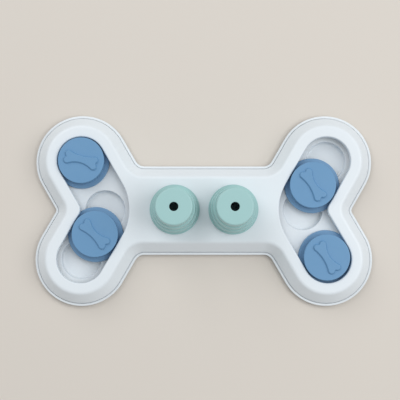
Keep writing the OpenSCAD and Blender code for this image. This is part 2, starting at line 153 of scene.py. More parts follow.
# Holes and bosses for the screws, and recesses for the feet
SCREW_HOLE_R = 1.65 * MM
BOSS_R = 2.9 * MM
BOSS_TOP_Z = ROOF_Z + COVER_WALL / 4
BOSS_HOLE_Z = FLOOR_Z + 9.9 * MM
HEAD_HOLE_R = 3 * MM
HEAD_SEAT_Z = TRAY_Z + 2.4 * MM
FOOT_HOLE_R = 7.2 * MM
FOOT_HOLE_Z = TRAY_Z + 0.7 * MM

# ---------------------------------------------------------------- mesh helpers

# Steps of an outline's arcs, and of small roundings, in degrees
ARC_STEP = 3
ROUND_STEP = 15
SMALL_ARC_R = 2 * MM

# Steps of a full turn
TURN_STEPS = 128
SMALL_TURN_STEPS = 48
SMALL_TURN_R = 8 * MM

DOUBLE = 0.002 * MM
SHARP_ANGLE = 40


def rounded(corners, closed=False):
    """Points of a profile of (across, up, radius) corners, where a corner with a radius is an arc.

    The ends of an open profile stay sharp. Some callers cut an end off again, where it is there
    only to give the next corner its direction.
    """
    points = []
    for i, (across, up, radius) in enumerate(corners):
        corner = Vector((across, up))
        if not radius or (not closed and i in (0, len(corners) - 1)):
            points.append(corner)
            continue
        back = (Vector(corners[i - 1][:2]) - corner).normalized()
        on = (Vector(corners[(i + 1) % len(corners)][:2]) - corner).normalized()
        half = back.angle(on) / 2
        centre = corner + (back + on).normalized() * radius / sin(half)
        start = corner + back * radius / tan(half) - centre
        turn = pi - 2 * half
        side = -1 if back.cross(on) > 0 else 1
        steps = max(2, ceil(degrees(turn) / ROUND_STEP))
        points += [
            centre + Matrix.Rotation(side * turn * k / steps, 2) @ start for k in range(steps + 1)
        ]
    return points


def ring(bm, arcs, z):
    """A closed loop of edges at height z, through arcs (x, y, radius, from, to) and straight edges."""
    points = []
    for x, y, radius, start, end in arcs:
        step = ARC_STEP if radius > SMALL_ARC_R else ROUND_STEP
        steps = max(1, ceil(abs(end - start) / step))
        for turn in (radians(start + (end - start) * k / steps) for k in range(steps + 1)):
            point = Vector((x + radius * cos(turn), y + radius * sin(turn), z))
            if not points or min((point - points[i]).length for i in (0, -1)) > DOUBLE:
                points.append(point)
    verts = [bm.verts.new(point) for point in points]
    return [bm.edges.new(pair) for pair in zip(verts, verts[1:] + verts[:1])]


def circle(bm, x, y, radius, z):
    """A closed loop of edges round a vertical line."""
    place = Matrix.Translation((x, y, z))
    steps = TURN_STEPS if radius > SMALL_TURN_R else SMALL_TURN_STEPS
    made = bmesh.ops.create_circle(bm, segments=steps, radius=radius, matrix=place)
    return list({edge for vert in made["verts"] for edge in vert.link_edges})


def circles(bm, x, y, profile):
    """A circle for each (radius, height) of a profile."""
    return [circle(bm, x, y, radius, z) for radius, z in profile]


def flat(bm, *loops):
    """A flat face inside the first loop, with the other loops as its holes."""
    bmesh.ops.triangle_fill(bm, use_beauty=True, edges=[edge for loop in loops for edge in loop])


def level(loop):
    """The height of a loop of edges."""
    return loop[0].verts[0].co.z


def loft(bm, loops):
    """Walls between each loop of edges and the next, or a flat ring where both are at one height."""
    for one, other in zip(loops, loops[1:]):
        if abs(level(one) - level(other)) < DOUBLE:
            flat(bm, one, other)
        else:
            bmesh.ops.bridge_loops(bm, edges=one + other)


def lathe(bm, corners, closed=False, steps=TURN_STEPS):
    """Spins a profile of (radius, height, rounding) corners round the z axis.

    Returns the edges of the opening, if an end of the profile stays away from the axis.
    """
    verts = [bm.verts.new((r, 0, z)) for r, z in rounded(corners, closed)]
    pairs = list(zip(verts, verts[1:])) + ([(verts[-1], verts[0])] if closed else [])
    edges = [bm.edges.new(pair) for pair in pairs]
    bmesh.ops.spin(
        bm, geom=verts + edges, cent=(0, 0, 0), axis=(0, 0, 1),
        angle=2 * pi, steps=steps, use_merge=True,
    )
    bmesh.ops.remove_doubles(bm, verts=bm.verts, dist=DOUBLE)
    return [edge for edge in bm.edges if edge.is_boundary]


def move(bm, x, y, turn=0):
    """Turns everything made so far round the z axis by degrees, and sets it down at a place."""
    place = Matrix.Translation((x, y, 0)) @ Matrix.Rotation(radians(turn), 4, "Z")
    bmesh.ops.transform(bm, matrix=place, verts=bm.verts)


def piece(name, bm, material, body, node):
    """Turns a bmesh into a finished piece that rides on a body and stands for a node."""
    bmesh.ops.remove_doubles(bm, verts=bm.verts, dist=DOUBLE)
    bmesh.ops.recalc_face_normals(bm, faces=bm.faces)
    mesh = bpy.data.meshes.new(name)
    bm.to_mesh(mesh)
    bm.free()
    mesh.shade_smooth()
    mesh.set_sharp_from_angle(angle=radians(SHARP_ANGLE))
    mesh.materials.append(material)
    obj = bpy.data.objects.new(name, mesh)
    bpy.context.collection.objects.link(obj)
    shading = obj.modifiers.new("even shading", "WEIGHTED_NORMAL")
    shading.keep_sharp = True
    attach(obj, body)
    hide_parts(node)
    return obj


# ---------------------------------------------------------------- outlines


def both_halves(arcs):
    """The arcs of the right half, then the same turned half a turn for the left."""
    return arcs + [(-x, -y, r, start + 180, end + 180) for x, y, r, start, end in arcs]


def bone_arcs(inset):
    """The bone outline of the board, moved inwards by inset."""
    lobe, notch, fillet = LOBE_R - inset, NOTCH_FILLET_R + inset, BAR_FILLET_R + inset
    return both_halves([
        (FILLET_X, -FILLET_Y, fillet, 90, LEAN),
        (LOBE_X, -LOBE_Y, lobe, 180 + LEAN, 360 + LEAN),
        (NOTCH_X, 0, notch, 180 + LEAN, 180 - LEAN),
        (LOBE_X, LOBE_Y, lobe, -LEAN, 180 - LEAN),
        (FILLET_X, FILLET_Y, fillet, -LEAN, -90),
    ])


def channel_arcs(side, grow):
    """The outline of one bent channel, moved outwards by grow."""
    arcs = [
        (LOBE_X, LOBE_Y, CHANNEL_R + grow, -LEAN, 180 - LEAN),
        (WIDE_BEND_X, 0, BEND_R + grow, 180 - LEAN, 180 + LEAN),
        (LOBE_X, -LOBE_Y, CHANNEL_R + grow, 180 + LEAN, 360 + LEAN),
        (TIGHT_BEND_X, 0, INNER_BEND_R - grow, 180 + LEAN, 180 - LEAN),
    ]
    return arcs if side > 0 else both_halves(arcs)[len(arcs):]


# ---------------------------------------------------------------- material helpers


def colour(red, green, blue):
    """A colour given in everyday 0 to 255 values, as the renderer's linear one."""
    def linear(value):
        value /= 255
        return value / 12.92 if value <= 0.04045 else ((value + 0.055) / 1.055) ** 2.4
    return linear(red), linear(green), linear(blue), 1


PLAIN_WHITE = (1, 1, 1, 1)


def add(tree, kind, settings=None, **inputs):
    """A shader node. An input that is a socket is linked, and any other is a value.

    An input is given by its name, or by an underscore and its number where names repeat.
    """
    made = tree.nodes.new("ShaderNode" + kind)
    for name, value in (settings or {}).items():
        setattr(made, name, value)
    for name, value in inputs.items():
        socket = made.inputs[int(name[1:]) if name[1:].isdigit() else name.replace("_", " ")]
        if isinstance(value, bpy.types.NodeSocket):
            tree.links.new(value, socket)
        else:
            socket.default_value = value
    return made


def place_on(tree):
    """Where a point lies on its piece, for patterns that keep their place on it."""
    return add(tree, "TexCoord").outputs["Object"]


def noise(tree, place, scale, detail, **inputs):
    """Random soft spots, from 0 to 1."""
    return add(tree, "TexNoise", Vector=place, Scale=scale, Detail=detail, **inputs).outputs["Fac"]


def calculate(tree, operation, one, other):
    """One sum, difference or product of two values."""
    return add(tree, "Math", {"operation": operation}, _0=one, _1=other).outputs[0]


def stretch(tree, value, low, high, to_low=0.0, to_high=1.0):
    """Spreads a value's span from low to high over another span, and keeps it inside."""
    return add(
        tree, "MapRange", Value=value, From_Min=low, From_Max=high, To_Min=to_low, To_Max=to_high
    ).outputs[0]


def mixed(tree, mask, one, other):
    """One colour where the mask is 0, and the other where it is 1."""
    return add(tree, "Mix", {"data_type": "RGBA"}, Factor=mask, _6=one, _7=other).outputs[2]


def bump(tree, height, strength, depth):
    """The direction of a surface that is raised by a height of 1 by depth."""
    return add(tree, "Bump", Strength=strength, Distance=depth, Height=height).outputs[0]


def group(name, ins, outs):
    """An empty shader node group with named inputs and outputs."""
    tree = bpy.data.node_groups.new(name, "ShaderNodeTree")
    for label, kind, start in ins:
        socket = tree.interface.new_socket(label, in_out="INPUT", socket_type="NodeSocket" + kind)
        socket.default_value = start
    for label, kind in outs:
        tree.interface.new_socket(label, in_out="OUTPUT", socket_type="NodeSocket" + kind)
    return tree, tree.nodes.new("NodeGroupInput").outputs, tree.nodes.new("NodeGroupOutput").inputs


def use(tree, inner, **inputs):
    """Places a node group in a material."""
    return add(tree, "Group", {"node_tree": inner}, **inputs).outputs


def moulding_grain():
    """Slow drifts of tone, the fine spark-eroded skin of a mould, and faint rubbed spots."""
    tree, given, made = group(
        "moulding grain",
        [("Colour", "Color", PLAIN_WHITE), ("Drift", "Float", 0.05), ("Roughness", "Float", 0.4)],
        [("Colour", "Color"), ("Roughness", "Float"), ("Height", "Float")],
    )
    place = place_on(tree)
    drift = noise(tree, place, scale=14.0, detail=3.0)
    skin = noise(tree, place, scale=2600.0, detail=2.0)
    rubs = noise(tree, place, scale=90.0, detail=6.0, Roughness=0.7)
    centred = calculate(tree, "SUBTRACT", drift, 0.5)
    swing = calculate(tree, "MULTIPLY", centred, given["Drift"])
    tone = calculate(tree, "ADD", swing, 1.0)
    toned = add(tree, "HueSaturation", Value=tone, Color=given["Colour"])
    polish = stretch(tree, rubs, 0.35, 0.7, to_low=-0.06, to_high=0.08)
    rough = calculate(tree, "ADD", polish, given["Roughness"])
    tree.links.new(toned.outputs[0], made["Colour"])
    tree.links.new(rough, made["Roughness"])
    tree.links.new(skin, made["Height"])
    return tree


def edge_wear_and_highlight():
    """Lightens the outer edges in broken patches, partly as wear where hands and paws rub them and
    partly as a painted highlight along the edges.
    """
    tree, given, made = group(
        "edge wear and highlight",
        [("Colour", "Color", PLAIN_WHITE), ("Worn", "Color", PLAIN_WHITE), ("Amount", "Float", 0.3)],
        [("Colour", "Color"), ("Mask", "Float")],
    )
    patches = noise(tree, place_on(tree), scale=160.0, detail=4.0)
    sharpness = add(tree, "NewGeometry").outputs["Pointiness"]
    edges = stretch(tree, sharpness, 0.52, 0.62)
    broken = stretch(tree, patches, 0.4, 0.6)
    where = calculate(tree, "MULTIPLY", edges, broken)
    mask = calculate(tree, "MULTIPLY", where, given["Amount"])
    tree.links.new(mixed(tree, mask, given["Colour"], given["Worn"]), made["Colour"])
    tree.links.new(mask, made["Mask"])
    return tree


GRAIN = moulding_grain()
WEAR_AND_HIGHLIGHT = edge_wear_and_highlight()


def start_material(name):
    """A material with an empty node tree, and its output."""
    material = bpy.data.materials.new(name)
    material.use_nodes = True
    material.node_tree.nodes.clear()
    return material, material.node_tree, material.node_tree.nodes.new("ShaderNodeOutputMaterial")


def moulded(name, base, worn, drift=0.05, roughness=0.4, wear_and_highlight=0.35, skin_depth=0.02 * MM):
    """A moulded plastic or rubber of one colour, a little lighter at its edges, as rubbed wear and as
    a painted highlight.
    """
    material, tree, output = start_material(name)
    grain = use(tree, GRAIN, Colour=base, Drift=drift, Roughness=roughness)
    worn_and_lit_edges = use(tree, WEAR_AND_HIGHLIGHT, Colour=grain["Colour"], Worn=worn, Amount=wear_and_highlight)
    shader = add(
        tree, "BsdfPrincipled", Base_Color=worn_and_lit_edges["Colour"], Roughness=grain["Roughness"],
        Normal=bump(tree, grain["Height"], strength=0.35, depth=skin_depth),
    )
    tree.links.new(shader.outputs[0], output.inputs["Surface"])
    return material


def zinc_steel(name, dark, light, worn):
    """Bright zinc-plated steel with fine turning marks and duller patches."""
    material, tree, output = start_material(name)
    place = place_on(tree)
    squeezed = add(tree, "Mapping", Vector=place, Scale=(1, 1, 30)).outputs[0]
    marks = noise(tree, squeezed, scale=700.0, detail=3.0)
    patches = noise(tree, place, scale=420.0, detail=3.0)
    plating = mixed(tree, stretch(tree, patches, 0.35, 0.65), dark, light)
    # Lighter edges, partly rubbed wear and partly a painted highlight.
    worn_and_lit_edges = use(tree, WEAR_AND_HIGHLIGHT, Colour=plating, Worn=worn, Amount=0.6)
    shader = add(
        tree, "BsdfPrincipled", Base_Color=worn_and_lit_edges["Colour"], Metallic=1.0,
        Roughness=stretch(tree, patches, 0.3, 0.7, to_low=0.24, to_high=0.42),
        Normal=bump(tree, marks, strength=0.25, depth=0.01 * MM),
    )
    tree.links.new(shader.outputs[0], output.inputs["Surface"])
    return material


# ---------------------------------------------------------------- materials

# The second colour of each material is the lighter one of its edges: rubbed wear and a painted
# highlight.
WHITE = moulded("white cover plastic", colour(226, 234, 240), colour(242, 247, 250))
TRAY_WHITE = moulded("white tray plastic", colour(226, 233, 238), colour(241, 245, 248), drift=0.07)
BLUE = moulded("blue knob plastic", colour(104, 150, 190), colour(150, 188, 217))
# The glides' own blue, lightened a little as painted bounce light on the flanges, which lie in shade
# under the knobs.
LIGHTENED_GLIDE_BLUE = moulded("blue glide plastic with painted bounce light", colour(110, 151, 187), colour(152, 188, 214))
MINT = moulded("mint cup plastic", colour(160, 200, 200), colour(200, 225, 225))
RUBBER = moulded(
    "grey foot rubber", colour(120, 125, 128), colour(165, 166, 164), drift=0.14, roughness=0.72,
    wear_and_highlight=0.5, skin_depth=0.05 * MM,
)
STEEL = zinc_steel(
    "zinc-plated screw steel", colour(168, 170, 172), colour(205, 205, 200), colour(228, 228, 226)
)

# ---------------------------------------------------------------- cover


def cover_side():
    """The outside of the side wall, from its foot to the flat top, as (inset, height) points."""
    return rounded([
        (RIM_AND_GROOVE, FLOOR_Z, 0),
        (RIM_AND_GROOVE + SIDE_SLANT, FLOOR_Z + SIDE_UPRIGHT, SIDE_ROUND),
        (RIM_AND_GROOVE + SHOULDER_W, TOP_Z, SHOULDER_ROUND),
        (RIM_AND_GROOVE + 2 * SHOULDER_W, TOP_Z, 0),
    ])[:-1]


def cover_cavity():
    """The inside of the side wall, from the roof down to its foot."""
    return [
        (RIM_AND_GROOVE + SHOULDER_W + CAVITY_IN, ROOF_Z),
        (RIM_AND_GROOVE + SIDE_SLANT + COVER_WALL, FLOOR_Z + SIDE_UPRIGHT - CAVITY_DOWN),
        (RIM_AND_GROOVE + COVER_WALL, FLOOR_Z),
    ]


def channel_walls(bm, side):
    """The walls of a channel. Returns the loops at the top face and at the roof's underside."""
    profile = rounded([
        (2 * LIP_ROUND, TOP_Z, 0), (0, TOP_Z, LIP_ROUND), (0, LIP_Z, EDGE),
        (LIP_T, LIP_Z, EDGE), (LIP_T, ROOF_Z, 0),
    ])[1:]
    loops = [ring(bm, channel_arcs(side, grow), z) for grow, z in profile]
    loft(bm, loops)
    return loops[0], loops[-1]


def cup_pocket(bm, x):
    """A round pocket. Returns the loops at the top face and at the roof's underside."""
    outer_r, outer_z = POCKET_R + COVER_WALL, POCKET_Z - COVER_WALL
    inside = circles(bm, x, 0, rounded([
        (2 * POCKET_R, TOP_Z, 0), (POCKET_R, TOP_Z, SOFT_EDGE),
        (POCKET_R, POCKET_Z, SOFT_EDGE), (0, POCKET_Z, 0),
    ])[1:-1])
    outside = circles(bm, x, 0, rounded([
        (0, outer_z, 0), (outer_r, outer_z, POCKET_FOOT_ROUND), (outer_r, ROOF_Z, 0),
    ])[1:])
    loft(bm, inside)
    loft(bm, outside)
    flat(bm, inside[-1])
    flat(bm, outside[0])
    return inside[0], outside[-1]


def screw_boss(bm, x, y):
    """A boss with a blind hole, let a little into the roof and the sloped wall."""
    loops = circles(bm, x, y, [
        (BOSS_R, BOSS_TOP_Z), (BOSS_R, PAD_Z), (SCREW_HOLE_R, PAD_Z), (SCREW_HOLE_R, BOSS_HOLE_Z),
    ])
    flat(bm, loops[0])
    loft(bm, loops)
    flat(bm, loops[-1])


def make_cover():
    """The upper shell: sloped side, flat top, two channels, two pockets and eight bosses."""
    bm = bmesh.new()
    side = [ring(bm, bone_arcs(inset), z) for inset, z in cover_side()]
    cavity = [ring(bm, bone_arcs(inset), z) for inset, z in cover_cavity()]
    loft(bm, cavity + side)
    mouths = [channel_walls(bm, s) for s in (1, -1)] + [cup_pocket(bm, x) for x in (CUP_X, -CUP_X)]
    flat(bm, side[-1], *[top for top, _ in mouths])
    flat(bm, cavity[0], *[under for _, under in mouths])
    for x, y in SCREWS:
        screw_boss(bm, x, y)
    return piece("cover_shell", bm, WHITE, "board", "top_cover")


# ---------------------------------------------------------------- tray


def foot_hole(bm, x, y):
    """A shallow round hole in the underside. Returns its loop at the underside."""
    loops = circles(bm, x, y, [(FOOT_HOLE_R, TRAY_Z), (FOOT_HOLE_R, FOOT_HOLE_Z)])
    loft(bm, loops)
    flat(bm, loops[1])
    return loops[0]


def dish(bm, x, y):
    """A treat well, round as a saucer. Returns its loop at the deck."""
    loops = circles(bm, x, y, rounded([
        (2 * WELL_R, DECK_Z, 0), (WELL_R, DECK_Z, EDGE),
        (WELL_R - WELL_TAPER, WELL_Z, WELL_ROUND), (0, WELL_Z, 0),
    ])[1:-1])
    loft(bm, loops)
    flat(bm, loops[-1])
    return loops[0]


def well_tower(bm, x, y, has_foot):
    """The outside of a treat well, under the deck. Returns its loop at the deck's underside."""
    outer_r = WELL_R + DECK_T
    loops = circles(bm, x, y, rounded([
        (WELL_R, TRAY_Z, 0), (outer_r, TRAY_Z, EDGE), (outer_r, DECK_Z - DECK_T, 0),
    ])[1:])
    loft(bm, loops)
    flat(bm, loops[0], *([foot_hole(bm, x, y)] if has_foot else []))
    return loops[-1]


def rib(bm, x, y, angle, near, far):
    """A thin upright wall under the deck, between two distances from a point."""
    low, high = TRAY_Z + EDGE, DECK_Z - DECK_T / 2
    turn = Matrix.Rotation(radians(angle), 4, "Z")
    along = Matrix.Translation(((near + far) / 2, 0, (low + high) / 2))
    size = Matrix.Diagonal((far - near, RIB_T, high - low, 1))
    place = Matrix.Translation((x, y, 0)) @ turn @ along @ size
    bmesh.ops.create_cube(bm, size=1, matrix=place)


def ribs(bm, side):
    """Four ribs round each lobe well, and two at the bend well."""
    for way in (1, -1):
        for x, y, turn, end in (
            (LOBE_X, LOBE_Y, 0, RIB_TO_WALL), (LOBE_X, LOBE_Y, 90, RIB_TO_WALL),
            (LOBE_X, LOBE_Y, -90, RIB_TO_WALL), (LOBE_X, LOBE_Y, 180, RIB_TO_BEND),
            (BEND_WELL_X, 0, 180, BEND_RIB_END),
        ):
            angle = way * (ARM_ANGLE + turn)
            rib(bm, side * x, way * y, angle if side > 0 else 180 - angle, RIB_START, end)


def deck(bm, side):
    """A raised deck with its three wells. Returns its loops at the tray's floor and underside."""
    inner_grow = DECK_GROW - DECK_T
    outside = rounded([(DECK_GROW, FLOOR_Z, 0), (DECK_GROW, DECK_Z, EDGE), (0, DECK_Z, 0)])[:-1]
    inside = rounded([
        (DECK_GROW, TRAY_Z, 0), (inner_grow, TRAY_Z, EDGE), (inner_grow, DECK_Z - DECK_T, 0),
    ])[1:]
    shells = [
        [ring(bm, channel_arcs(side, grow), z) for grow, z in wall] for wall in (outside, inside)
    ]
    for shell in shells:
        loft(bm, shell)
    flat(bm, shells[0][-1], *[dish(bm, side * x, y) for x, y in WELLS])
    flat(bm, shells[1][-1], *[well_tower(bm, side * x, y, y != 0) for x, y in WELLS])
    ribs(bm, side)
    return shells[0][0], shells[1][0]


def screw_pad(bm, x, y):
    """A low round pad on the tray's floor, with the hole of a screw and of its head."""
    loops = circles(bm, x, y, [
        (PAD_R, FLOOR_Z - EDGE), (PAD_R, PAD_Z), (SCREW_HOLE_R, PAD_Z),
        (SCREW_HOLE_R, HEAD_SEAT_Z), (HEAD_HOLE_R, HEAD_SEAT_Z), (HEAD_HOLE_R, FLOOR_Z - EDGE),
    ])
    loft(bm, loops + loops[:1])


def make_tray():
    """The lower shell: floor, rim, two decks with their wells and ribs, and screw pads."""
    bm = bmesh.new()
    for x, y in SCREWS:
        screw_pad(bm, x, y)
    profile = rounded([
        (RIM_W, TRAY_Z, 0), (0, TRAY_Z, EDGE), (0, RIM_Z, EDGE), (RIM_W, RIM_Z, 0),
        (RIM_W, FLOOR_Z, CRISP_EDGE), (2 * RIM_W, FLOOR_Z, 0),
    ])[1:-1]
    rim = [ring(bm, bone_arcs(inset), z) for inset, z in profile]
    loft(bm, rim)
    decks = [deck(bm, side) for side in (1, -1)]
    holes = [circles(bm, x, y, [(HEAD_HOLE_R, TRAY_Z), (HEAD_HOLE_R, FLOOR_Z)]) for x, y in SCREWS]
    for hole in holes:
        loft(bm, hole)
    bar_feet = [foot_hole(bm, x, y) for x, y in FEET if abs(x) < LOBE_X / 2]
    flat(bm, rim[0], *[under for _, under in decks], *[hole[0] for hole in holes], *bar_feet)
    flat(bm, rim[-1], *[floor for floor, _ in decks], *[hole[1] for hole in holes])
    return piece("tray_moulding", bm, TRAY_WHITE, "board", "base_tray")


# ---------------------------------------------------------------- feet

FOOT_STEPS = 64
FOOT_TOP_ROUND = 0.1 * MM

# The lower face of a foot: share of its radius, height and rounding in mm. It has a hollow in its
# middle, a ring groove that grips the floor, and a round outer edge.
FOOT_FACE = (
    (0, 0.3, 0), (0.3, 0.3, 0.3), (0.4, 0, 0.3),
    (0.62, 0, 0.2), (0.66, 0.4, 0.15), (0.74, 0.4, 0.15), (0.78, 0, 0.2),
    (1, 0, 0.5),
)


def make_foot(node):
    """A rubber foot in its recess in the tray."""
    low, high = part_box(node)
    radius = (high.x - low.x) / 2
    corners = [
        (radius * share, low.z + rise * MM, round_mm * MM) for share, rise, round_mm in FOOT_FACE
    ]
    bm = bmesh.new()
    lathe(bm, corners + [(radius, high.z, FOOT_TOP_ROUND), (0, high.z, 0)], steps=FOOT_STEPS)
    move(bm, *middle(node))
    return piece(node + "_pad", bm, RUBBER, "board", node)


# ---------------------------------------------------------------- screws

SCREW_STEPS = 32
HEAD_H = 1.8 * MM
HEAD_CROWN_H = 0.75 * MM
HEAD_CROWN_SHARE = 0.78
HEAD_SEAT_ROUND = 0.1 * MM
THREAD_CORE_R = 1.05 * MM
THREAD_CREST_R = 1.45 * MM
THREAD_PITCH = 1.1 * MM
THREAD_FOOT = 0.3 * THREAD_PITCH

# The cross recess, and the round field in the head's face that holds it
RECESS_L = 3.2 * MM
RECESS_W = 0.8 * MM
RECESS_H = 1 * MM
RECESS_TAPER = 0.1 * MM
RECESS_FIELD_R = 1.8 * MM


def cross_recess(bm, z):
    """The cross recess of a screw, let in upwards. Returns its loop at the head."""
    loops = []
    for inset, rise in ((0, 0), (RECESS_TAPER, RECESS_H)):
        far, near = RECESS_L / 2 - inset, RECESS_W / 2 - inset
        corners = [
            Matrix.Rotation(quarter * pi / 2, 2) @ Vector(corner)
            for quarter in range(4) for corner in ((far, -near), (far, near), (near, near))
        ]
        loops.append(ring(bm, [(*corner, 0, 0, 0) for corner in corners], z + rise))
    loft(bm, loops)
    flat(bm, loops[1])
    return loops[0]


def make_screw(node):
    """A pan-head screw with a cross recess, head down, and a coarse thread of plain rings."""
    low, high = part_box(node)
    radius = (high.x - low.x) / 2
    seat = low.z + HEAD_H
    corners = [
        (RECESS_FIELD_R, low.z, 0), (radius * HEAD_CROWN_SHARE, low.z, CRISP_EDGE),
        (radius, low.z + HEAD_CROWN_H, SOFT_EDGE), (radius, seat, HEAD_SEAT_ROUND),
        (THREAD_CORE_R, seat, HEAD_SEAT_ROUND),
    ]
    z = seat + THREAD_PITCH
    while z < high.z - THREAD_PITCH:
        corners += [
            (THREAD_CORE_R, z - THREAD_FOOT, 0), (THREAD_CREST_R, z, 0),
            (THREAD_CORE_R, z + THREAD_FOOT, 0),
        ]
        z += THREAD_PITCH
    corners += [(THREAD_CORE_R, high.z - THREAD_PITCH, 0), (0, high.z, 0)]
    bm = bmesh.new()
    field = lathe(bm, corners, steps=SCREW_STEPS)
    flat(bm, field, cross_recess(bm, low.z))
    move(bm, *middle(node))
    return piece(node + "_turned", bm, STEEL, "board", node)


# ---------------------------------------------------------------- sliders

# The glide: a wide flange, and a hub that is open below, with a hole for the knob's stem
FLANGE_T = 2.3 * MM
FLANGE_TOP_Z = GLIDE_Z + FLANGE_T
FLANGE_ROUND = 0.8 * MM
HUB_GAP = 0.8 * MM
HUB_WALL = 2 * MM
HUB_ROUND = 0.5 * MM
STEM_GAP = 0.2 * MM

# The knob: a top and a skirt round the hub, and a stem with a barb that snaps through it
KNOB_TOP_Z = TOP_Z + 3 * MM
KNOB_TOP_T = 2.2 * MM
KNOB_EDGE = 0.5 * MM
SKIRT_Z = FLANGE_TOP_Z + 0.3 * MM
SKIRT_T = 1.8 * MM
HUB_R = KNOB_R - SKIRT_T - HUB_GAP
STEM_R = 4 * MM
BARB_Z = GLIDE_TOP_Z - HUB_WALL - 0.3 * MM
BARB_H = 2.2 * MM
BARB_W = 0.9 * MM
BARB_TIP_IN = 0.6 * MM
BARB_EDGE_H = 0.6 * MM
BARB_ROUND = 0.2 * MM

# The raised bone on a knob: four knuckles, a waist between them and a nick at each end
KNUCKLE_R = 3.4 * MM
KNUCKLE_X = 12.3 * MM
KNUCKLE_Y = 3.1 * MM
WAIST_BACK = 4.4 * MM
WAIST_FRONT = 3 * MM
END_NICK_R = 0.8 * MM
BONE_TOP_Z = knob_high.z + 1 * MM
BONE_SPREAD = 0.1 * MM
BONE_SLOPE_W = 1 * MM
BONE_ROUND = 0.5 * MM

# The sliders, and how far the bone of each knob is turned, in degrees
BONE_TURNS = {"back_left": -15, "front_left": 136, "back_right": 122, "front_right": 122}


def hollow(waist):
    """Radius of the arc that touches two knuckles and passes the waist."""
    rise = waist - KNUCKLE_Y
    return (KNUCKLE_X ** 2 + rise ** 2 - KNUCKLE_R ** 2) / (2 * (KNUCKLE_R - rise))


def ornament_arcs(inset):
    """A traditional bone, a little arched, along the x axis, moved inwards by inset."""
    back, front = hollow(WAIST_BACK), hollow(WAIST_FRONT)
    nick_x = KNUCKLE_X + sqrt((KNUCKLE_R + END_NICK_R) ** 2 - KNUCKLE_Y ** 2)
    nick = degrees(atan2(KNUCKLE_Y, nick_x - KNUCKLE_X))
    back_turn = degrees(atan2(KNUCKLE_X, back + WAIST_BACK - KNUCKLE_Y))
    front_turn = degrees(atan2(KNUCKLE_X, front + WAIST_FRONT - KNUCKLE_Y))
    knuckle, end = KNUCKLE_R - inset, END_NICK_R + inset
    return [
        (KNUCKLE_X, KNUCKLE_Y, knuckle, -nick, 90 + back_turn),
        (0, WAIST_BACK + back, back + inset, back_turn - 90, -90 - back_turn),
        (-KNUCKLE_X, KNUCKLE_Y, knuckle, 90 - back_turn, 180 + nick),
        (-nick_x, 0, end, nick, -nick),
        (-KNUCKLE_X, -KNUCKLE_Y, knuckle, 180 - nick, 270 + front_turn),
        (0, -WAIST_FRONT - front, front + inset, 90 + front_turn, 90 - front_turn),
        (KNUCKLE_X, -KNUCKLE_Y, knuckle, 270 - front_turn, 360 + nick),
        (nick_x, 0, end, 180 + nick, 180 - nick),
    ]


def raised_bone(bm):
    """The raised bone, with a sloped edge and a flat top. Returns its loop on the knob's top."""
    slope = rounded([
        (-BONE_SPREAD, KNOB_TOP_Z, 0), (BONE_SLOPE_W, BONE_TOP_Z, BONE_ROUND),
        (2 * BONE_SLOPE_W, BONE_TOP_Z, 0),
    ])[:-1]
    loops = [ring(bm, ornament_arcs(inset), z) for inset, z in slope]
    loft(bm, loops)
    flat(bm, loops[-1])
    return loops[0]


def make_knob(name, x, y, turn):
    """A knob: stem and barb, the inside of the top and skirt, the outside, and the raised bone."""
    barb_tip_z, inside_z, inside_r = BARB_Z - BARB_H, KNOB_TOP_Z - KNOB_TOP_T, KNOB_R - SKIRT_T
    bm = bmesh.new()
    top = lathe(bm, [
        (0, barb_tip_z, 0), (STEM_R - BARB_TIP_IN, barb_tip_z, BARB_ROUND),
        (STEM_R + BARB_W, BARB_Z - BARB_EDGE_H, BARB_ROUND), (STEM_R + BARB_W, BARB_Z, 0),
        (STEM_R, BARB_Z, 0), (STEM_R, inside_z, EDGE),
        (inside_r, inside_z, SOFT_EDGE), (inside_r, SKIRT_Z, EDGE),
        (KNOB_R, SKIRT_Z, EDGE), (KNOB_R, KNOB_TOP_Z, KNOB_EDGE),
        (KNOB_R - 2 * KNOB_EDGE, KNOB_TOP_Z, 0),
    ])
    flat(bm, top, raised_bone(bm))
    move(bm, x, y, turn)
    node = "knob_" + name
    return piece(node + "_cap", bm, BLUE, node, node)


def make_glide(name, x, y):
    """A glide: the hub's top and side, the flange, and the hollow under the hub."""
    hollow_r, hollow_z, hole_r = HUB_R - HUB_WALL, GLIDE_TOP_Z - HUB_WALL, STEM_R + STEM_GAP
    bm = bmesh.new()
    lathe(bm, [
        (hole_r, GLIDE_TOP_Z, 0), (HUB_R, GLIDE_TOP_Z, HUB_ROUND), (HUB_R, FLANGE_TOP_Z, CRISP_EDGE),
        (FLANGE_R, FLANGE_TOP_Z, FLANGE_ROUND), (FLANGE_R, GLIDE_Z, SOFT_EDGE),
        (hollow_r, GLIDE_Z, CRISP_EDGE), (hollow_r, hollow_z, HUB_ROUND), (hole_r, hollow_z, 0),
    ], closed=True)
    move(bm, x, y)
    node = "glide_" + name
    return piece(node + "_disc", bm, LIGHTENED_GLIDE_BLUE, node, node)


def make_sliders():
    for name, turn in BONE_TURNS.items():
        x, y = middle("glide_" + name)
        make_glide(name, x, y)
        make_knob(name, x, y, turn)


# ---------------------------------------------------------------- cups

CUP_TOP_R = 16.5 * MM
CUP_TOP_ROUND = 1.4 * MM
CUP_WALL = 2 * MM
CUP_HOLE_R = 4 * MM
CUP_HOLE_ROUND = 0.5 * MM
CUP_ROOF_ROUND = 1 * MM
CUP_BEND_ROUND = 0.5 * MM
CUP_FOOT_H = 2 * MM
CUP_STEPS = 3
CUP_LEDGE = 1.3 * MM
CUP_STEP_ROUND = 0.7 * MM
CUP_STEP_FOOT_ROUND = 0.25 * MM
CUP_SEAT_Z = TOP_Z + 0.3 * MM
SPIGOT_R = POCKET_R - 0.6 * MM


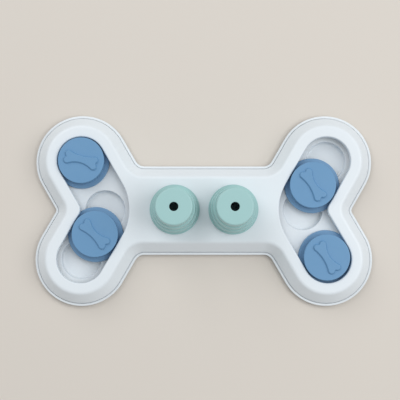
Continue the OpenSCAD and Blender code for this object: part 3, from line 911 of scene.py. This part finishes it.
def cup_side():
    """The stepped outside of a cup, from the foot ring up to the top."""
    step_h = (cup_high.z - CUP_SEAT_Z - CUP_FOOT_H) / CUP_STEPS
    lean = (CUP_FOOT_R - CUP_TOP_R) / CUP_STEPS - CUP_LEDGE
    corners = []
    for i in range(CUP_STEPS):
        r = CUP_FOOT_R - CUP_LEDGE - i * (CUP_LEDGE + lean)
        z = CUP_SEAT_Z + CUP_FOOT_H + i * step_h
        edge = CUP_TOP_ROUND if i == CUP_STEPS - 1 else CUP_STEP_ROUND
        corners += [(r, z, CUP_STEP_FOOT_ROUND), (r - lean, z + step_h, edge)]
    return corners


def cup_corners():
    """The section of a cup: spigot, foot ring, stepped side, hole in the top, and inside."""
    inner_spigot_r, roof_z = SPIGOT_R - CUP_WALL, cup_high.z - CUP_WALL
    return [
        (inner_spigot_r, cup_low.z, EDGE), (SPIGOT_R, cup_low.z, SOFT_EDGE),
        (SPIGOT_R, CUP_SEAT_Z, 0), (CUP_FOOT_R, CUP_SEAT_Z, EDGE),
        (CUP_FOOT_R, CUP_SEAT_Z + CUP_FOOT_H, SOFT_EDGE),
        *cup_side(),
        (CUP_HOLE_R, cup_high.z, CUP_HOLE_ROUND), (CUP_HOLE_R, roof_z, CRISP_EDGE),
        (CUP_TOP_R - CUP_WALL, roof_z, CUP_ROOF_ROUND), (inner_spigot_r, CUP_SEAT_Z, CUP_BEND_ROUND),
    ]


def make_cup(side, x):
    bm = bmesh.new()
    lathe(bm, cup_corners(), closed=True)
    move(bm, x, 0)
    node = "cup_" + side
    return piece(node + "_turned", bm, MINT, node, node)


# ---------------------------------------------------------------- stage, light and camera

FLOOR_COLOUR = colour(214, 208, 200)
FLOOR_ROUGHNESS = 0.8
FLOOR_REACH = 3
ROOM_LIGHT = 0.48

# Soft square lamps: where each stands, its width in metres and its power in watts
WINDOWS = {
    "left window": ((-0.9, 1.15, 1.4), 1.6, 15.5),
    "right window": ((1.25, 0.05, 1.5), 1.4, 17.5),
}

CAMERA_PLACE = Vector((-8, -58.3, 1023)) * MM
CAMERA_TARGET = Vector((-3.6, 10.1, 0)) * MM
CAMERA_LENS = 99


def camera():
    """The camera, almost straight above the board, with the far side of the board upwards."""
    data = bpy.data.cameras.new("camera")
    data.lens = CAMERA_LENS
    obj = bpy.data.objects.new("camera", data)
    back = (CAMERA_PLACE - CAMERA_TARGET).normalized()
    right = Vector((0, 1, 0)).cross(back).normalized()
    obj.matrix_world = Matrix((right, back.cross(right), back)).transposed().to_4x4()
    obj.location = CAMERA_PLACE
    bpy.context.collection.objects.link(obj)
    bpy.context.scene.camera = obj


def pale_floor():
    paper = bpy.data.materials.new("pale floor")
    paper.use_nodes = True
    shader = paper.node_tree.nodes["Principled BSDF"]
    shader.inputs["Base Color"].default_value = FLOOR_COLOUR
    shader.inputs["Roughness"].default_value = FLOOR_ROUGHNESS
    floor = bpy.data.meshes.new("floor")
    bm = bmesh.new()
    bmesh.ops.create_grid(bm, x_segments=1, y_segments=1, size=FLOOR_REACH)
    bm.to_mesh(floor)
    bm.free()
    floor.materials.append(paper)
    obj = bpy.data.objects.new("floor", floor)
    bpy.context.collection.objects.link(obj)


def lamp(name, place, size, power):
    """A square soft lamp that points at the board."""
    data = bpy.data.lights.new(name, "AREA")
    data.size = size
    data.energy = power
    obj = bpy.data.objects.new(name, data)
    obj.location = place
    obj.rotation_euler = (-Vector(place)).to_track_quat("-Z", "Y").to_euler()
    bpy.context.collection.objects.link(obj)


def studio():
    """A plain floor, even light from all round, and two windows."""
    pale_floor()
    world = bpy.data.worlds.new("studio")
    world.use_nodes = True
    background = world.node_tree.nodes["Background"]
    background.inputs["Color"].default_value = PLAIN_WHITE
    background.inputs["Strength"].default_value = ROOM_LIGHT
    bpy.context.scene.world = world
    for name, (place, size, power) in WINDOWS.items():
        lamp(name, place, size, power)


# ---------------------------------------------------------------- the whole toy

camera()
studio()
make_tray()
make_cover()
make_sliders()
make_cup("left", CUP_X)
make_cup("right", -CUP_X)
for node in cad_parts:
    if node.startswith("foot_"):
        make_foot(node)
    elif node.startswith("screw_"):
        make_screw(node)
bpy.context.scene.view_settings.view_transform = "Standard"
